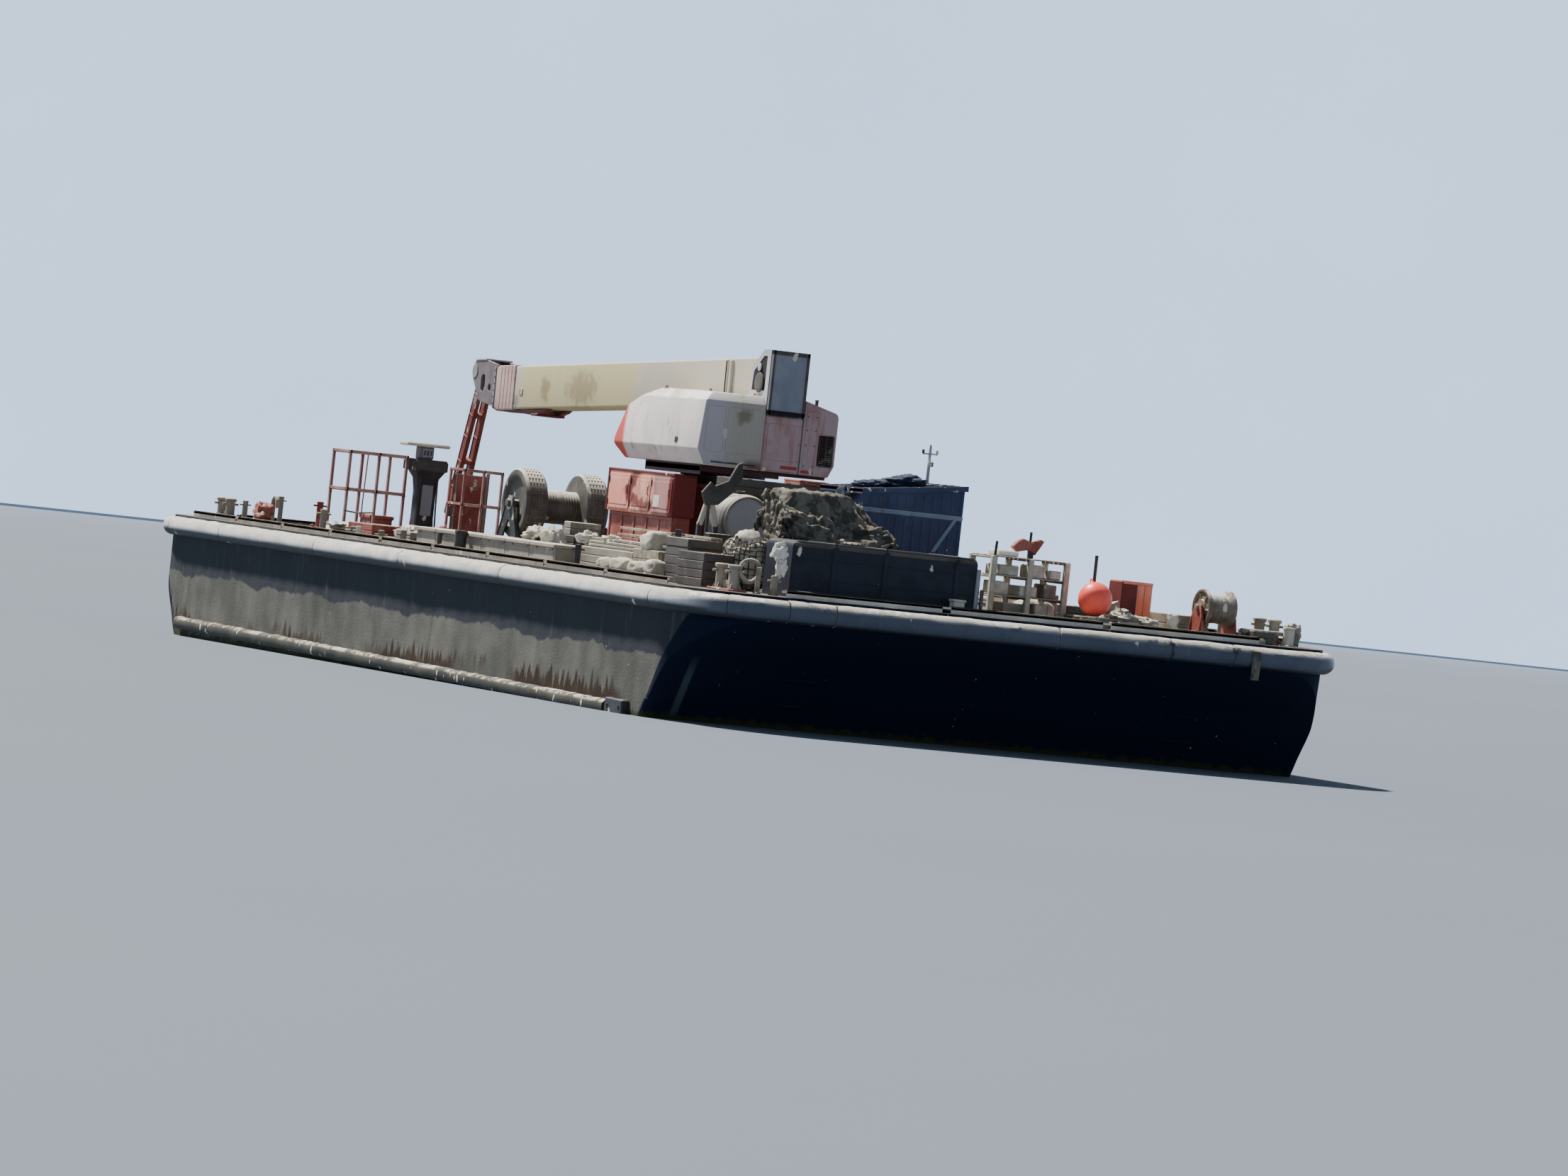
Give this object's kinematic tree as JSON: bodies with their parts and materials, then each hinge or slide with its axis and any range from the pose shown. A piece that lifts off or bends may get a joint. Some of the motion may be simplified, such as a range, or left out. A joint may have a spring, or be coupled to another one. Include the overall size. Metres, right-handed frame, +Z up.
{
  "type": "crane work barge",
  "caption": "Flat steel deck barge with raked ends, half-round rubbing strakes, a slewing pedestal crane with telescoping boom and folding jib, a winch, a cabin and deck gear.",
  "frame": {"origin": "middle of the hull's flat bottom", "axes": "+X along the length towards the end with the cabin, +Z up"},
  "size_m": [26, 11.6, 6.83],
  "materials": {
    "hull_plating": "streaked, weathered plating",
    "strake_coating": "chalky white over grey",
    "lower_strake_growth": "weed and white blotches",
    "weathered_grey": "chalky grey",
    "rust_paint": "faded red paint with rust",
    "orange_paint": "faded orange paint",
    "dark_steel": "dark worn paint",
    "hood_white": "dirty white paint",
    "housing_pink": "faded pinkish red paint",
    "crane_grey": "grey paint",
    "boom_cream": "faded cream paint",
    "bright_steel": "polished rod",
    "cabin_blue": "faded blue paint",
    "window_glass": "dusty glass",
    "locker_beige": "beige paint",
    "tarpaulin": "grey weathered cloth",
    "buoy_orange": "orange inflated vinyl"
  },
  "bodies": {
    "barge": {"hull": "hull_plating", "strake_near": "strake_coating", "strake_far": "strake_coating", "strake_port": "strake_coating", "strake_starboard": "strake_coating", "lower_strake_port": "lower_strake_growth", "lower_strake_starboard": "lower_strake_growth", "kerb_port": "strake_coating", "kerb_starboard": "strake_coating", "kerb_near": "strake_coating", "kerb_far": "strake_coating", "bitts_near_port": "weathered_grey", "bitts_near_starboard": "weathered_grey", "bitts_far_port": "weathered_grey", "bitts_far_starboard": "weathered_grey", "crane_pedestal": "rust_paint", "slewing_ring": "dark_steel", "machinery_box": "orange_paint", "winch_frame": "dark_steel", "cabin_floor": "dark_steel", "cabin_walls": "cabin_blue", "cabin_roof": "cabin_blue", "cabin_window": "window_glass", "cabin_mast": "weathered_grey", "rail_frame_far": "rust_paint", "rail_frame_mid": "rust_paint", "control_stand": "dark_steel", "control_box": "hood_white", "deck_locker": "locker_beige", "deck_tank": "dark_steel", "round_tank": "crane_grey", "tank_cradle": "dark_steel", "tarp_heap": "tarpaulin", "net_bundle": "tarpaulin", "pallet_rack": "weathered_grey", "buoy_pad": "weathered_grey", "ball_buoy": "buoy_orange", "deck_bin": "orange_paint", "roller_stand": "rust_paint"},
    "crane_upper": {"crane_platform": "rust_paint", "engine_hood": "hood_white", "pump_housing": "housing_pink", "radiator_grille": "dark_steel", "counterweight": "crane_grey", "boom_bracket": "crane_grey"},
    "boom": {"boom_main": "boom_cream", "boom_collar": "housing_pink"},
    "boom_extension": {"boom_inner": "crane_grey", "boom_head": "housing_pink"},
    "folding_jib": {"jib": "orange_paint"},
    "lift_barrel_body": {"lift_barrel": "crane_grey"},
    "lift_rod_body": {"lift_rod": "bright_steel"},
    "winch_drum_body": {"winch_drum": "weathered_grey"},
    "mooring_roller_body": {"mooring_roller": "weathered_grey"},
    "cabin_door_body": {"cabin_door": "cabin_blue"}
  },
  "joints": [
    {"name": "crane_slew", "type": "hinge", "parent": "barge", "child": "crane_upper", "pos_m": [0.55, 0, 4.64], "axis": [0, 0, 1], "continuous": true},
    {"name": "boom_luff", "type": "hinge", "parent": "crane_upper", "child": "boom", "pos_m": [1.9, 0.25, 6.27], "axis": [0, 1, 0], "range_deg": [0, 65]},
    {"name": "boom_extend", "type": "slide", "parent": "boom", "child": "boom_extension", "axis": [-0.9994, 0, -0.0349], "range_m": [0, 3.5]},
    {"name": "jib_fold", "type": "hinge", "parent": "boom_extension", "child": "folding_jib", "pos_m": [-11.61, 0.25, 6.17], "axis": [0, 1, 0], "range_deg": [-70, 65]},
    {"name": "lift_barrel_swing", "type": "hinge", "parent": "crane_upper", "child": "lift_barrel_body", "pos_m": [0.3, 0.25, 4.99], "axis": [0, 1, 0], "range_deg": [0, 75]},
    {"name": "lift_rod_slide", "type": "slide", "parent": "lift_barrel_body", "child": "lift_rod_body", "axis": [-0.9913, 0, 0.1313], "range_m": [0, 2.4]},
    {"name": "winch_spin", "type": "hinge", "parent": "barge", "child": "winch_drum_body", "pos_m": [-4.5, -0.97, 3.79], "axis": [0, 1, 0], "continuous": true},
    {"name": "roller_spin", "type": "hinge", "parent": "barge", "child": "mooring_roller_body", "pos_m": [11.9, 3.56, 3.37], "axis": [0, 1, 0], "continuous": true},
    {"name": "cabin_door_swing", "type": "hinge", "parent": "barge", "child": "cabin_door_body", "pos_m": [8.306, 0.232, 3.83], "axis": [0, 0, 1], "range_deg": [0, 110]}
  ],
  "couplings": [
    {"joint": "lift_barrel_swing", "follows": "boom_luff", "ratio": 1.0644},
    {"joint": "lift_rod_slide", "follows": "boom_luff", "m_per_rad": 1.9172}
  ]
}
